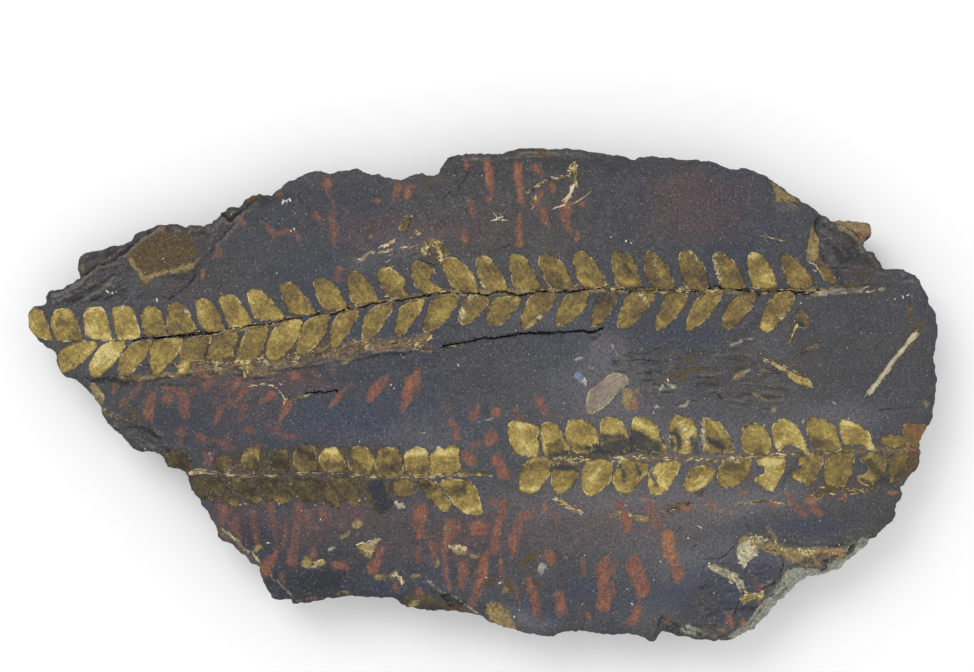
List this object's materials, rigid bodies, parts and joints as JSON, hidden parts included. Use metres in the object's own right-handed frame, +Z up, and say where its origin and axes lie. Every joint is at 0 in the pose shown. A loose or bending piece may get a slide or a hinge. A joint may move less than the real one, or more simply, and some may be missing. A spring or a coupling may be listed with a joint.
{
  "type": "fossil bennettite leaf plate",
  "caption": "Broken slab of dark shale with bennettite leaves, rows of rounded leaflets on thin stalks, pressed on its top; lies on a flat underside.",
  "frame": {"origin": "on the resting face, under the middle of the slab's bounding box", "axes": "+X along the slab's length towards the end with the slanting twig, +Y across it towards the long upper leaf, +Z up out of the face with the leaves"},
  "size_m": [0.273, 0.1482, 0.0252],
  "materials": {
    "shale": "matt, split along the bedding",
    "leaf_film": "dull mineral film with a faint sheen"
  },
  "bodies": {
    "root": {"fossil_slab": "shale"}
  },
  "joints": []
}
